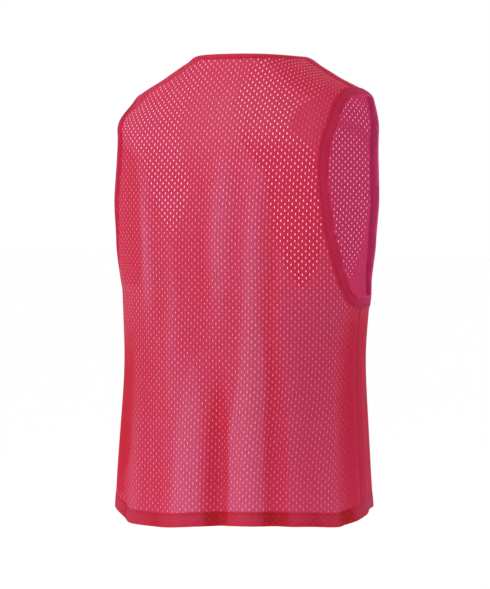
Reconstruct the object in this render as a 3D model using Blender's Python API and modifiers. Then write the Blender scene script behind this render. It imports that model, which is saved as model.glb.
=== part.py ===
"""Training bib: a sleeveless pull-over of open mesh, as it stands filled out with nobody inside.

Metres, +Z up. The front faces -Y, so the wearer's left is +X. The origin lies midway between
the two neck points, where the shoulder seams end, and every level below is measured from it.
"""

import math
from collections import namedtuple

import bmesh
import bpy
import numpy as np
from mathutils import Vector

# Driving sizes
LENGTH = 0.664  # neck point to the lower edge, on average, at the side seams
CLOTH = 0.0015  # thickness of one layer
DOUBLE = 0.0026  # thickness of a turned hem or a folded binding
SEAM_GAP = 0.0003

NECK_HALF_WIDTH = 0.085
BACK_NECK_RISE = 0.003  # the nape stands this much above the neck points
FRONT_NECK_DROP = 0.130
NECK_BINDING = 0.008

SHOULDER_DROP = 0.0585  # neck point to shoulder tip
UNDERARM = 0.348  # neck point to the bottom of the armhole

# How an armhole is cut in from the side line: degrees at its middle, how square its ends are
# (less is squarer), and how much more it is cut in at its upper end than at its lower one
Cut = namedtuple("Cut", "degrees rounding upper")
BACK_CUT = Cut(37.1, 0.73, 0.30)
FRONT_CUT = Cut(48.3, 0.39, 0.07)
ARMHOLE_BINDING = 0.018

HEM_HEIGHT = 0.021

# Grid of each panel
NECK_COLUMNS = 26
SHOULDER_COLUMNS = 6
COLUMNS = NECK_COLUMNS + 2 * SHOULDER_COLUMNS
BODY_ROWS = 7
ARMHOLE_ROWS = 14
CLOSE_ROWS = (0.15, 0.4, 0.7)  # shares of the uppermost row, for the rows added across it
RELAXING = 400  # rounds of smoothing

BACK, FRONT = 0.0, 180.0  # the middle of each panel, in degrees round from the centre back
SIDE = 90.0  # from there to the side seam and to the shoulder seam

COLOURS = {  # base colour and roughness
    "mesh_cloth": ((0.62, 0.06, 0.13), 0.75),
    "binding_cloth": ((0.48, 0.03, 0.08), 0.70),
}

# Level sections of the bib, from the neck points down. Depths run from centre_y to the
# centre back and to the centre front; squareness is the exponent of the oval.
SECTION = "drop half_width back_depth front_depth centre_y back_squareness front_squareness"
Ring = namedtuple("Ring", SECTION)
RINGS = (
    Ring(-0.010, 0.073, 0.084, 0.074, 0.002, 2.3, 2.0),
    Ring(0.000, 0.085, 0.086, 0.078, 0.002, 2.4, 2.0),
    Ring(0.028, 0.133, 0.096, 0.092, 0.002, 2.35, 2.1),
    Ring(0.0585, 0.188, 0.108, 0.102, 0.003, 2.2, 2.5),
    Ring(0.110, 0.206, 0.123, 0.1125, 0.007, 2.85, 3.2),
    Ring(0.200, 0.208, 0.129, 0.117, 0.016, 2.7, 4.0),
    Ring(0.270, 0.203, 0.127, 0.1165, 0.023, 2.4, 3.4),
    Ring(0.352, 0.191, 0.122, 0.116, 0.027, 2.4, 2.5),
    Ring(0.450, 0.187, 0.121, 0.117, 0.031, 2.3, 2.3),
    Ring(0.560, 0.190, 0.127, 0.123, 0.030, 2.3, 2.3),
    Ring(0.720, 0.198, 0.137, 0.131, 0.028, 2.3, 2.3),
)

# The lower edge is high at the side seams and low in between
Hem = namedtuple("Hem", "around drop")
HEM_LINE = (
    Hem(-180, 0.6740),
    Hem(-160, 0.6740),
    Hem(-132, 0.6680),
    Hem(-108, 0.6580),
    Hem(-88, 0.6695),
    Hem(-70, 0.6770),
    Hem(-45, 0.6740),
    Hem(-25, 0.6740),
    Hem(0, 0.6785),
    Hem(22, 0.6845),
    Hem(46, 0.6830),
    Hem(62, 0.6670),
    Hem(82, 0.6600),
    Hem(112, 0.6640),
    Hem(160, 0.6740),
    Hem(180, 0.6740),
)

# Soft hanging folds: degrees round from the centre back to the wearer's left, the drop where
# each starts, how far below that it is full, its half width in degrees, and its depth outward.
Fold = namedtuple("Fold", "around start reach width depth")
FOLDS = (
    Fold(-8.0, 0.41, 0.22, 5.5, -0.015),
    Fold(-33.5, 0.34, 0.28, 5.5, -0.013),
    Fold(-75.0, 0.28, 0.30, 6.5, -0.010),
    Fold(24.0, 0.44, 0.20, 7.0, -0.006),
    Fold(6.0, 0.38, 0.24, 7.0, 0.006),
    Fold(-23.0, 0.32, 0.28, 6.5, 0.007),
    Fold(61.0, 0.42, 0.22, 9.0, 0.006),
    Fold(106.0, 0.36, 0.28, 8.0, -0.009),
    Fold(143.0, 0.40, 0.24, 7.0, -0.012),
    Fold(171.0, 0.46, 0.20, 7.5, 0.007),
    Fold(-162.0, 0.43, 0.22, 7.0, -0.014),
    Fold(-127.0, 0.38, 0.26, 8.5, -0.008),
)


def read(table, column, at):
    """A column of a table at a place along its first column, eased from row to row."""
    places = [row[0] for row in table]
    values = [getattr(row, column) for row in table]
    last = len(places) - 1
    at = min(max(at, places[0]), places[last])
    i = next(k for k in range(last) if at <= places[k + 1])
    rises = [(values[k + 1] - values[k]) / (places[k + 1] - places[k]) for k in range(last)]

    def slope(k):
        if k in (0, last):
            return rises[min(k, last - 1)]
        before, after = rises[k - 1], rises[k]
        return 0.0 if before * after <= 0 else 2 * before * after / (before + after)

    step = places[i + 1] - places[i]
    t = (at - places[i]) / step
    return (
        values[i] * (1 + 2 * t) * (1 - t) ** 2
        + slope(i) * step * t * (1 - t) ** 2
        + values[i + 1] * t * t * (3 - 2 * t)
        + slope(i + 1) * step * t * t * (t - 1)
    )


def ease(t):
    t = min(max(t, 0.0), 1.0)
    return t * t * (3 - 2 * t)


def smooth_point(around, drop):
    """Point of the cloth before its folds, degrees round from the centre back."""
    angle = math.radians(around)
    across, along = math.sin(angle), math.cos(angle)
    side = "back" if along > 0 else "front"
    power = read(RINGS, f"{side}_squareness", drop)
    depth = read(RINGS, f"{side}_depth", drop)
    reach = (abs(across) ** power + abs(along) ** power) ** (-1 / power)
    return Vector((
        read(RINGS, "half_width", drop) * reach * across,
        read(RINGS, "centre_y", drop) + depth * reach * along,
        -drop,
    ))


def outward(around, drop, of):
    """Unit normal of a surface of points, away from the inside of the bib."""
    step = 0.25
    fall = 0.0005
    round_it = of(around + step, drop) - of(around - step, drop)
    down_it = of(around, drop + fall) - of(around, drop - fall)
    return round_it.cross(down_it).normalized()


def fold_depth(around, drop):
    total = 0.0
    for fold in FOLDS:
        turn = (around - fold.around + 180) % 360 - 180
        total += fold.depth * ease((drop - fold.start) / fold.reach) * math.exp(-((turn / fold.width) ** 2))
    return total


def cloth_point(around, drop):
    """Point of the middle of the cloth, with its folds."""
    return smooth_point(around, drop) + fold_depth(around, drop) * outward(around, drop, smooth_point)


def moved(around, drop, towards, distance):
    """The degrees and drop that lie a distance along the cloth from others."""
    step = 0.5
    fall = 0.001
    per_degree = (cloth_point(around + step, drop) - cloth_point(around - step, drop)) / (2 * step)
    per_drop = (cloth_point(around, drop + fall) - cloth_point(around, drop)) / fall
    one, two, both = per_degree.dot(per_degree), per_drop.dot(per_drop), per_degree.dot(per_drop)
    right = per_degree.dot(towards) * distance
    down = per_drop.dot(towards) * distance
    share = one * two - both * both
    return around + (right * two - down * both) / share, drop + (down * one - right * both) / share


def inward(edge, place, distance, hand):
    """Degrees and drop at a distance from a finished edge, along the cloth and into it.

    The edge gives degrees and drop at a place. Seen from outside, the cloth lies on the left
    of a traveller along the edge where hand is 1, and on the right where it is -1.
    """
    step = 0.002
    along = cloth_point(*edge(place + step)) - cloth_point(*edge(place - step))
    around, drop = edge(place)
    towards = outward(around, drop, cloth_point).cross(along).normalized() * hand
    halfway = moved(around, drop, towards, distance / 2)
    return moved(*halfway, towards, distance / 2)


def armhole_cut(way, middle):
    """How far an armhole is cut in from the side line, in degrees, and its drop."""
    turn = way * math.pi
    cut = BACK_CUT if middle == BACK else FRONT_CUT
    share = abs(math.sin(turn)) ** cut.rounding * (1 - cut.upper * math.cos(turn))
    return cut.degrees * share, UNDERARM + (SHOULDER_DROP - UNDERARM) * (1 - math.cos(turn)) / 2


def armhole_edge(place, hand):
    """An armhole's finished edge: 0 underarm, up the back, 1 shoulder tip, down the front, 2."""
    place %= 2
    if place <= 1:
        cut, drop = armhole_cut(place, BACK)
        return hand * (SIDE - cut), drop
    cut, drop = armhole_cut(2 - place, FRONT)
    return hand * (SIDE + cut), drop


def armhole_inside(place, hand, distance):
    """Where the cloth is at a distance from an armhole's edge."""
    around, drop = inward(lambda at: armhole_edge(at, hand), place, distance, -hand)
    if place % 1 == 0:
        around = hand * SIDE  # both ends lie on the seams
    return around, drop


def turn_at(across, drop, front):
    """Degrees round from the centre back of the point that lies this far across at a drop."""
    power = read(RINGS, "front_squareness" if front else "back_squareness", drop)
    share = min(abs(across) / read(RINGS, "half_width", drop), 1.0)
    turn = math.degrees(math.atan2(share, (1 - share**power) ** (1 / power)))
    turn = math.copysign(turn, across)
    return FRONT - turn if front else turn


def neck_edge(place):
    """The neck's finished edge: 0 right neck point, over the back, 1 left one, the front, 2."""
    place %= 2
    turn = place * math.pi
    if place <= 1:
        drop = -BACK_NECK_RISE * (1 - math.cos(turn) ** 4)
        across = -read(RINGS, "half_width", drop) * math.cos(turn)
        return turn_at(across, drop, False), drop
    share = math.sin(turn) ** 2
    across = math.copysign(NECK_HALF_WIDTH * math.sqrt(1 - share**2), -math.cos(turn))
    drop = FRONT_NECK_DROP * share
    return turn_at(across, drop, True), drop


def neck_inside(place, distance):
    """Where the cloth is at a distance from the neck's edge."""
    around, drop = inward(neck_edge, place, distance, 1)
    if place % 1 == 0:
        around = SIDE if place % 2 == 1 else -SIDE
    return around, drop


def hem_drop(around):
    return read(HEM_LINE, "drop", (around + 180) % 360 - 180)


def lengths(drop, middle):
    """Degrees from a panel's middle round to its seam, and the length of cloth to each."""
    turns = [SIDE * k / 30 for k in range(31)]
    points = [smooth_point(middle + turn, drop) for turn in turns]
    steps = [(after - before).length for before, after in zip(points, points[1:])]
    return turns, np.cumsum([0.0, *steps])


def length_to(turn, drop, middle):
    """Length of cloth from a panel's middle round to a turn."""
    turns, runs = lengths(drop, middle)
    return math.copysign(np.interp(abs(turn), turns, runs), turn)


def turn_after(length, drop, middle):
    """Turn from a panel's middle that a length of cloth reaches."""
    turns, runs = lengths(drop, middle)
    return math.copysign(np.interp(abs(length), runs, turns), length)


def seam_turn(drop):
    """Turn from a panel's middle to its own side of the side seam or the shoulder seam."""
    return SIDE - math.degrees(SEAM_GAP / 2 / read(RINGS, "back_depth", drop))


def top_edge(middle):
    """Turns and drops along a panel's upper edge: a shoulder seam, the neck, the other seam."""
    start = 0 if middle == BACK else 1
    neck = [neck_inside(start + k / NECK_COLUMNS, NECK_BINDING + SEAM_GAP) for k in range(NECK_COLUMNS + 1)]
    neck = [((around - middle + 180) % 360 - 180, drop) for around, drop in neck]
    tip = armhole_end(1, middle)[1]
    point = neck[0][1]
    seam = [tip + (point - tip) * k / SHOULDER_COLUMNS for k in range(SHOULDER_COLUMNS + 1)]
    right = [(-seam_turn(drop), drop) for drop in seam]
    left = [(seam_turn(drop), drop) for drop in reversed(seam)]
    return right + neck[1:-1] + left


def relaxed(grid):
    """A grid with its inner points spread smoothly between its four edges."""
    for _ in range(RELAXING):
        rise = (grid[2:, 1:-1] - grid[:-2, 1:-1]) / 2
        run = (grid[1:-1, 2:] - grid[1:-1, :-2]) / 2
        steep = (rise**2).sum(axis=-1, keepdims=True)
        wide = (run**2).sum(axis=-1, keepdims=True)
        skew = (rise * run).sum(axis=-1, keepdims=True)
        corners = grid[2:, 2:] - grid[2:, :-2] - grid[:-2, 2:] + grid[:-2, :-2]
        beside = grid[1:-1, 2:] + grid[1:-1, :-2]
        above = grid[2:, 1:-1] + grid[:-2, 1:-1]
        grid[1:-1, 1:-1] = (steep * beside + wide * above - skew * corners / 2) / (2 * (steep + wide))
    return grid


def close_ways(middle):
    """Ways up an armhole, for the rows added beside the shoulder seam."""
    rounding = (BACK_CUT if middle == BACK else FRONT_CUT).rounding
    return [1 - share ** (1 / rounding) / ARMHOLE_ROWS for share in CLOSE_ROWS]


def armhole_end(way, middle):
    """Turn from a panel's middle to its cut armhole edge, and the drop there."""
    place = way if middle == BACK else (2 - way) % 2
    around, drop = armhole_inside(place, 1, ARMHOLE_BINDING + SEAM_GAP)
    return SIDE - abs(around - SIDE), drop


def panel_rows(middle):
    """Rows of degrees and drops over a panel, from just above its hem up to its top edge.

    The rows start level. They run from seam to seam up to the underarm and from armhole to
    armhole above it, and take on the top edge's shape as they rise.
    """
    top = [(length_to(turn, drop, middle), drop) for turn, drop in top_edge(middle)]
    corner, tip = top[-1]
    under = armhole_end(0, middle)[1]
    hem = LENGTH - HEM_HEIGHT - SEAM_GAP
    ends = [(SIDE, hem + (under - hem) * k / BODY_ROWS) for k in range(BODY_ROWS)]
    ends += [armhole_end(k / ARMHOLE_ROWS, middle) for k in range(ARMHOLE_ROWS + 1)]
    grid = np.zeros((len(ends), COLUMNS + 1, 2))
    for row, (wide, drop) in enumerate(ends):
        up = max((under - drop) / (under - tip), 0.0)
        hang = max((drop - under) / (hem - under), 0.0)
        edge = length_to(min(wide, seam_turn(drop)), drop, middle)
        for column, (top_length, top_drop) in enumerate(top):
            place = 2 * column / COLUMNS - 1
            length = place * (edge - up * corner) + up * top_length
            level = drop + up * (top_drop - tip)
            turn = turn_after(length, level, middle)
            level += hang * (hem_drop(middle + turn) - LENGTH)
            grid[row, column] = length_to(turn, level, middle), level
    *most, below, top_row = relaxed(grid)
    added = []
    for share, way in zip(CLOSE_ROWS, close_ways(middle)):
        row = top_row + share * (below - top_row)
        turn, drop = armhole_end(way, middle)
        row[0] = length_to(-turn, drop, middle), drop
        row[-1] = length_to(turn, drop, middle), drop
        added.insert(0, row)
    return [
        [(middle + turn_after(length, level, middle), level) for length, level in row.tolist()]
        for row in (*most, below, *added, top_row)
    ]


def fresh_start():
    for thing in list(bpy.data.objects):
        bpy.data.objects.remove(thing)


def material(name):
    colour, roughness = COLOURS[name]
    made = bpy.data.materials.get(name) or bpy.data.materials.new(name)
    made.use_nodes = True
    shader = made.node_tree.nodes["Principled BSDF"]
    shader.inputs["Base Color"].default_value = (*colour, 1.0)
    shader.inputs["Roughness"].default_value = roughness
    shader.inputs["Metallic"].default_value = 0.0
    return made


def sheet(name, slot, places, thickness, collection):
    """A piece of cloth through rows of degrees and drops, with its thickness.

    A piece whose last column is its first one closes into a band.
    """
    rows, columns = len(places) - 1, len(places[0]) - 1
    shape = bmesh.new()
    bmesh.ops.create_grid(shape, x_segments=columns, y_segments=rows, size=0.5)
    for vert in shape.verts:
        row = round((vert.co.y + 0.5) * rows)
        column = round((vert.co.x + 0.5) * columns)
        vert.co = cloth_point(*places[row][column])
    bmesh.ops.remove_doubles(shape, verts=shape.verts, dist=0.00001)
    bmesh.ops.recalc_face_normals(shape, faces=shape.faces)
    mesh = bpy.data.meshes.new(name)
    shape.to_mesh(mesh)
    shape.free()
    mesh.shade_smooth()
    mesh.materials.append(material(slot))
    piece = bpy.data.objects.new(name, mesh)
    collection.objects.link(piece)
    wall = piece.modifiers.new("wall", "SOLIDIFY")
    wall.thickness = thickness
    wall.offset = 0.0
    wall.use_quality_normals = True
    return piece


def band(edge_inside, width, stations):
    """Rows of places for a strip along a closed edge, from the edge into the cloth."""
    distances = (0.0, width / 2, width)
    return [[edge_inside(at, distance) for at in stations] for distance in distances]


def hem_rows(middle):
    """Rows of places for the turned-up hem of a panel, from the lower edge up."""
    top = LENGTH - HEM_HEIGHT
    wide = length_to(seam_turn(top), top, middle)
    places = [2 * column / COLUMNS - 1 for column in range(COLUMNS + 1)]
    turns = [middle + turn_after(place * wide, top, middle) for place in places]
    return [[(turn, hem_drop(turn) - height) for turn in turns] for height in (0.0, HEM_HEIGHT)]


def main():
    fresh_start()
    bib = bpy.data.collections.new("training_bib")
    bpy.context.scene.collection.children.link(bib)
    sheet("back_panel", "mesh_cloth", panel_rows(BACK), CLOTH, bib)
    sheet("front_panel", "mesh_cloth", panel_rows(FRONT), CLOTH, bib)
    sheet("back_hem", "binding_cloth", hem_rows(BACK), DOUBLE, bib)
    sheet("front_hem", "binding_cloth", hem_rows(FRONT), DOUBLE, bib)
    stations = [k / ARMHOLE_ROWS for k in range(2 * ARMHOLE_ROWS + 1)]
    stations += close_ways(BACK) + [2 - way for way in close_ways(FRONT)]
    stations.sort()
    for name, hand in (("left_armhole_binding", 1), ("right_armhole_binding", -1)):
        places = band(lambda at, by: armhole_inside(at, hand, by), ARMHOLE_BINDING, stations)
        sheet(name, "binding_cloth", places, DOUBLE, bib)
    stations = [k / NECK_COLUMNS for k in range(2 * NECK_COLUMNS + 1)]
    sheet("neck_binding", "binding_cloth", band(neck_inside, NECK_BINDING, stations), DOUBLE, bib)


main()
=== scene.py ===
"""Training bib: open warp-knit mesh over its solids, with bound edges and turned hems.

Metres, +Z up. The front faces -Y and the wearer's left is +X. A place on the cloth is given in
degrees round from the centre back towards +X, and in drop, the metres below the neck points.
"""

import math
from collections import namedtuple
from functools import partialmethod

import bmesh
import bpy
import numpy as np
from mathutils import Matrix, Vector
from mathutils.kdtree import KDTree


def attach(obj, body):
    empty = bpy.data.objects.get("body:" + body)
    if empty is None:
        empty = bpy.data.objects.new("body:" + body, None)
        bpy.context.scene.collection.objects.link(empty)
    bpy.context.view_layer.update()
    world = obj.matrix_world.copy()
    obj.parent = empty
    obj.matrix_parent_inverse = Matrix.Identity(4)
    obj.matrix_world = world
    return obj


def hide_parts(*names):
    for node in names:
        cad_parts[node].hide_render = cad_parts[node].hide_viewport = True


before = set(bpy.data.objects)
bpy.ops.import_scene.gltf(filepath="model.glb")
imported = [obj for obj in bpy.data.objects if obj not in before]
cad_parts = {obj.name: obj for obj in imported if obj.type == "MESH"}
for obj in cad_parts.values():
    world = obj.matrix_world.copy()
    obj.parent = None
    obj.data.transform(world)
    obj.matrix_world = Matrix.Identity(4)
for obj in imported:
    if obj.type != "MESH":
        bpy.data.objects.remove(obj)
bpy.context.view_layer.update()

bl_info = {
    "name": "Training bib",
    "version": (1, 0, 0),
    "blender": (4, 5, 0),
    "location": "3D Viewport > Sidebar > Bib",
    "description": "Makes a sleeveless mesh training bib, filled out and hollow",
    "category": "Object",
}

MM = 0.001
SIDE = 90.0  # degrees from the middle of a panel to its side seam and its shoulder seam
MIDDLES = {"back": 0.0, "front": 180.0}
FORM_TOP = -0.010  # the form reaches from this drop
FORM_FOOT = 0.690  # to this one
FORM_MIDDLE_Y = 0.03  # well inside the bib at every height
EDGE_STEP = 0.003  # between stations along an edge
TRACE_PLACES = 4001  # at which an edge's length is measured

# Cut of the bib
NECK_HALF_WIDTH = 0.085
BACK_NECK_RISE = 0.003
FRONT_NECK_DROP = 0.130
SHOULDER_DROP = 0.0585
UNDERARM = 0.348

# How an armhole is cut in from the side line: degrees at its middle, how square its ends are
# (less is squarer), and how much more at its upper end than at its lower one
ArmholeCut = namedtuple("ArmholeCut", "degrees rounding upper")
BACK_CUT = ArmholeCut(37.1, 0.73, 0.30)
FRONT_CUT = ArmholeCut(48.3, 0.39, 0.07)


def table(kind, *rows):
    """Rows of numbers as tuples of a kind."""
    return tuple(kind(*row) for row in rows)


SECTION = "drop half_width back_depth front_depth centre_y back_squareness front_squareness"
Ring = namedtuple("Ring", SECTION)
RINGS = table(
    Ring,
    (-0.01, 0.073, 0.084, 0.074, 0.002, 2.3, 2.0),
    (0.0, 0.085, 0.086, 0.078, 0.002, 2.4, 2.0),
    (0.028, 0.133, 0.096, 0.092, 0.002, 2.35, 2.1),
    (0.0585, 0.188, 0.108, 0.102, 0.003, 2.2, 2.5),
    (0.11, 0.206, 0.123, 0.1125, 0.007, 2.85, 3.2),
    (0.2, 0.208, 0.129, 0.117, 0.016, 2.7, 4.0),
    (0.27, 0.203, 0.127, 0.1165, 0.023, 2.4, 3.4),
    (0.352, 0.191, 0.122, 0.116, 0.027, 2.4, 2.5),
    (0.45, 0.187, 0.121, 0.117, 0.031, 2.3, 2.3),
    (0.56, 0.19, 0.127, 0.123, 0.03, 2.3, 2.3),
    (0.72, 0.198, 0.137, 0.131, 0.028, 2.3, 2.3),
)

# The lower edge is high at the side seams and low in between
Hem = namedtuple("Hem", "around drop")
HEM_LINE = table(
    Hem,
    (-180, 0.674), (-160, 0.674), (-132, 0.668), (-108, 0.658),
    (-88, 0.6695), (-70, 0.677), (-45, 0.674), (-25, 0.674),
    (0, 0.6785), (22, 0.6845), (46, 0.683), (62, 0.667),
    (82, 0.66), (112, 0.664), (160, 0.674), (180, 0.674),
)

# Folds hang from a drop down to the hem. Around and width are in degrees, and depth is outward.
Fold = namedtuple("Fold", "around start reach width depth")
FOLDS = table(
    Fold,
    (-8.0, 0.41, 0.22, 5.5, -0.015), (-33.5, 0.34, 0.28, 5.5, -0.013),
    (-75.0, 0.28, 0.3, 6.5, -0.01), (24.0, 0.44, 0.2, 7.0, -0.006),
    (6.0, 0.38, 0.24, 7.0, 0.006), (-23.0, 0.32, 0.28, 6.5, 0.007),
    (61.0, 0.42, 0.22, 9.0, 0.006), (106.0, 0.36, 0.28, 8.0, -0.009),
    (143.0, 0.4, 0.24, 7.0, -0.012), (171.0, 0.46, 0.2, 7.5, 0.007),
    (-162.0, 0.43, 0.22, 7.0, -0.014), (-127.0, 0.38, 0.26, 8.5, -0.008),
)

# Softer creases rise and die out between two drops, leaning this many degrees on the way
Crease = namedtuple("Crease", "around top bottom width depth lean")
CREASES = table(
    Crease,
    (-7.0, 0.06, 0.46, 5.5, 0.0042, 1.0), (-20.0, 0.08, 0.6, 4.0, 0.0046, -4.0),
    (-29.0, 0.12, 0.56, 2.6, -0.0034, -4.0), (1.5, 0.12, 0.44, 4.0, -0.003, -1.0),
    (8.5, 0.1, 0.4, 3.5, -0.002, 1.0), (15.0, 0.2, 0.6, 4.0, 0.0026, 2.0),
    (28.0, 0.11, 0.46, 3.5, 0.004, 2.0), (36.0, 0.4, 1.0, 4.0, 0.002, 2.0),
    (29.0, 0.42, 1.1, 13.0, 0.0046, 0.0), (51.0, 0.36, 1.05, 6.0, -0.006, -2.0),
    (-13.0, 0.4, 0.95, 3.0, 0.003, 1.0), (-42.0, 0.3, 0.95, 4.5, 0.0014, -4.0),
    (-51.0, 0.36, 1.0, 5.0, -0.0026, -3.0), (-59.0, 0.26, 1.0, 5.0, 0.0018, -5.0),
    (-46.0, 0.02, 0.2, 5.0, 0.002, 9.0), (80.0, 0.36, 0.9, 4.0, 0.002, 2.0),
    (94.0, 0.38, 0.88, 4.0, 0.003, -3.0), (118.0, 0.2, 0.8, 5.0, 0.0036, 5.0),
    (131.0, 0.14, 0.56, 4.0, -0.0028, 4.0), (152.0, 0.18, 0.6, 4.5, 0.0034, -4.0),
    (161.0, 0.3, 0.9, 4.0, -0.003, 3.0), (-175.0, 0.2, 0.58, 5.0, -0.003, 3.0),
    (-151.0, 0.16, 0.62, 4.0, 0.0034, 4.0), (-140.0, 0.24, 0.84, 4.5, -0.0028, -5.0),
    (-113.0, 0.34, 0.94, 5.0, 0.003, 4.0), (-97.0, 0.36, 0.9, 4.0, 0.0024, 3.0),
)

# Where the cloth settles over the shoulder tips: by an amount along an axis, 0 for x and 2 for z,
# about a drop and degrees round, dying out over a reach and a width
Settling = namedtuple("Settling", "axis amount drop reach around width")
SETTLINGS = table(
    Settling,
    (2, -0.005, 0.0565, 0.024, 90, 22),
    (0, 0.004, 0.092, 0.018, 64, 18),
    (2, -0.004, -0.003, 0.01, 84, 40),
    (0, 0.0065, 0.06, 0.03, -92, 30),
)

Patch = namedtuple("Patch", "drop start end")


def lay_patch(*rows):
    """A patch of the cloth, which at each drop reaches from one degree round to another."""
    return table(Patch, *rows)


# Over the right and the left shoulder blade, where the holes open a little and are filled with the most
# painted light
CLEAR_PATCHES = (
    lay_patch(
        (-0.01, -60, -44), (0.002, -85, -35), (0.029, -76, -19), (0.05, -54, -11),
        (0.077, -37, -9), (0.107, -33, -11), (0.118, -37, -13), (0.146, -44, -19),
        (0.173, -47, -25), (0.245, -52, -29), (0.302, -50, -36), (0.334, -45, -44),
    ),
    lay_patch(
        (-0.01, 12, 60), (0.03, 10, 74), (0.05, 12, 76), (0.085, 14, 62), (0.107, 15, 48),
        (0.13, 13, 37), (0.16, 10, 30), (0.194, 8, 25), (0.23, 10, 21), (0.258, 15, 16),
    ),
)
# The same on each side of the front, given for its right side
FRONT_PATCHES = (
    lay_patch(
        (0.058, -150, -139), (0.068, -160, -136), (0.084, -159, -138), (0.097, -148, -140),
        (0.112, -143, -142),
    ),
    lay_patch(
        (0.098, -168, -158), (0.108, -170, -151), (0.13, -172, -144), (0.226, -168, -143),
        (0.27, -160, -143), (0.302, -152, -144), (0.326, -146, -144),
    ),
)
# Painted highlights: light stretches between the troughs at the lower back, a strong one and a faint one
LIGHT_PATCHES = (
    lay_patch(
        (0.36, -26, -26), (0.42, -29, -22), (0.5, -29.6, -16), (0.56, -29.8, -12.8),
        (0.7, -29.8, -12.2),
    ),
    lay_patch((0.4, 4, 6), (0.48, 0, 12), (0.56, -2, 14), (0.7, -3, 16)),
)
# Over the left shoulder, where the cloth turns away: painted shade, with the holes partly hidden and
# their painted light dimmed
BROW_PATCH = lay_patch(
    (-0.004, 20, 80), (0.004, 29, 85), (0.02, 35, 88), (0.035, 39.5, 88), (0.055, 45, 88),
    (0.075, 48, 84), (0.1, 51, 74),
)
# By the right armhole, where the front's strap lies behind the holes: their painted light is dimmed and
# painted shade deepens the knit
STRAP_PATCH = lay_patch(
    (0.05, -58, -52), (0.062, -68, -48), (0.077, -66, -37.5), (0.107, -60, -33.5),
    (0.125, -56, -39), (0.146, -51, -45.5), (0.152, -49, -47),
)
# Under the left shoulder blade, where the holes' painted light is dimmed and painted shade deepens the
# knit
DIM_PATCH = lay_patch(
    (0.12, 48, 58), (0.15, 35, 62), (0.21, 31, 62), (0.29, 31, 60), (0.334, 36, 52),
)

# How far each zone takes away the painted light of the holes, and brings in solid colour and painted
# shade
Zone = namedtuple("Zone", "glow solid deep")
ZONES = {
    "left_side": Zone(0.95, 0.90, 1.00),
    "right_seam": Zone(0.80, 0.90, 0.85),
    "brow": Zone(0.75, 0.55, 0.50),
    "dim": Zone(0.40, 0.00, 0.80),
}
SHADING_DEPTH = 0.005  # a fold this far out or in takes the whole of its painted shading, highlight out and shade in

# Open mesh: holes in staggered rows, one in every diamond of the flat cloth, each filled by a face of
# painted light
HOLE_PITCH = (0.0105, 0.0096)  # across and down
HOLE_RIM = 0.0015  # knit set in round a hole
KNIT = 0  # a panel's material slots
# Slot of the faces that fill the holes with painted light
GLOWING_HOLE = 1
LATTICE_REACH = 82  # diamonds each way from the middle of the cut
FLAT_MIDDLE = (48 * HOLE_PITCH[0], 64 * HOLE_PITCH[1])  # of each cut, on its UV map
TOP_MARGIN = 0.0005  # least drop of a diamond's middle below the form's top
EDGE_MARGIN = 0.0015  # least distance of a diamond's middle inside a finished edge
SEAM_REACH = HOLE_PITCH[0] / 2 - 0.0002  # most distance of a diamond's middle past a seam
HOLE_MARGIN = 0.0045  # least distance of a hole's middle inside a seam
PANEL_INSET = 0.001  # of a panel's edge from the finished edge

# A panel is laid out flat on threads and rows this far apart, out to these distances
THREAD_STEP = 0.003
HALF_TURNS = 180  # steps from a panel's middle to its side
FLAT_ACROSS = 0.33
FLAT_ABOVE = 0.54
FLAT_BELOW = 0.33
LEVEL_ROW = 0.40  # drop at which the rows of holes run level

# Profiles of the strips, in millimetres in from the finished edge and off the cloth's middle.
# Bindings and hems are given by their outer half, from the free edge to the fold, and seams by
# one side, to their middle.
NECK_HALF = (
    (8.0, 0.25), (7.2, 0.5), (6.6, 0.58), (6.1, 0.52), (5.2, 0.62), (3.0, 0.75), (1.4, 0.75), (0.4, 0.6),
)
ARMHOLE_HALF = (
    (18.0, 0.3), (17.4, 1.0), (16.4, 1.2), (15.4, 0.95), (14.4, 1.25), (9.0, 1.35), (3.6, 1.25),
    (2.8, 0.95), (1.9, 1.15), (0.6, 0.85),
)
HEM_HALF = (
    (21.0, 0.25), (20.2, 0.42), (19.2, 0.5), (18.2, 0.42), (17.0, 0.55), (13.0, 0.7), (7.0, 0.8),
    (2.5, 0.8), (0.6, 0.55),
)
SIDE_SEAM_HALF = ((3.0, 0.1), (2.4, 0.45), (1.5, 0.6), (0.5, 0.5), (0.0, 0.3))
SHOULDER_SEAM_HALF = ((7.0, 0.25), (6.4, 0.8), (5.0, 1.05), (1.0, 1.1), (0.0, 0.7))
SEAM_FACE = 0.003  # width of cloth that a seam's colours are laid out on
SHOULDER_SEAM_TOP = 0.003  # drop
SHOULDER_SEAM_END = 0.0075  # above the shoulder tip
SIDE_SEAM_TOP = 0.014  # below the underarm
SIDE_SEAM_END = 0.020  # above the lower edge
FRONT_FADE = 20  # degrees over which a strip takes on the front's painted cool shade
OUTER_COOL_SHADE = 0.45  # share of that on its outer face
FLAT_COOL_SHADE = 0.3  # and on a seam or hem
HEM_END = 0.0005  # share of a panel's width from a hem's end to the side seam

# Relief of the threads, and the repeats of the knit's columns and rows and of a strip's ribs
RELIEF = 0.0003
WALE = 0.0013
COURSE = 0.0016
RIB = 0.0014
STITCH_SWING = 0.00065  # of a zigzag stitch, each way
STITCH_GAP = 0.002  # from a row of stitches to the pale line beside it
PILLAR_SHADE_ASIDE = 2.4  # millimetres from a hole's middle to the painted shade of the pillars beside it

# The stage
FLOOR_DEPTH = 1.25  # below the neck points
FLOOR_REACH = 30.0
CAMERA_TURN = 29.0  # degrees from straight behind, to the wearer's right
CAMERA_RISE = 2.5  # degrees above level
CAMERA_DISTANCE = 4.0
CAMERA_LENS = 165.2  # millimetres
LOOK_AT = (0.003236, 0.021794, -0.3496)
LAMP_PLACE = (1.6, 2.2, 0.5)  # from there
LAMP_SIZE = 1.2
LAMP_POWER = 24.0  # watts
LAMP_COLOUR = (1.0, 0.96, 0.94)


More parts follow.
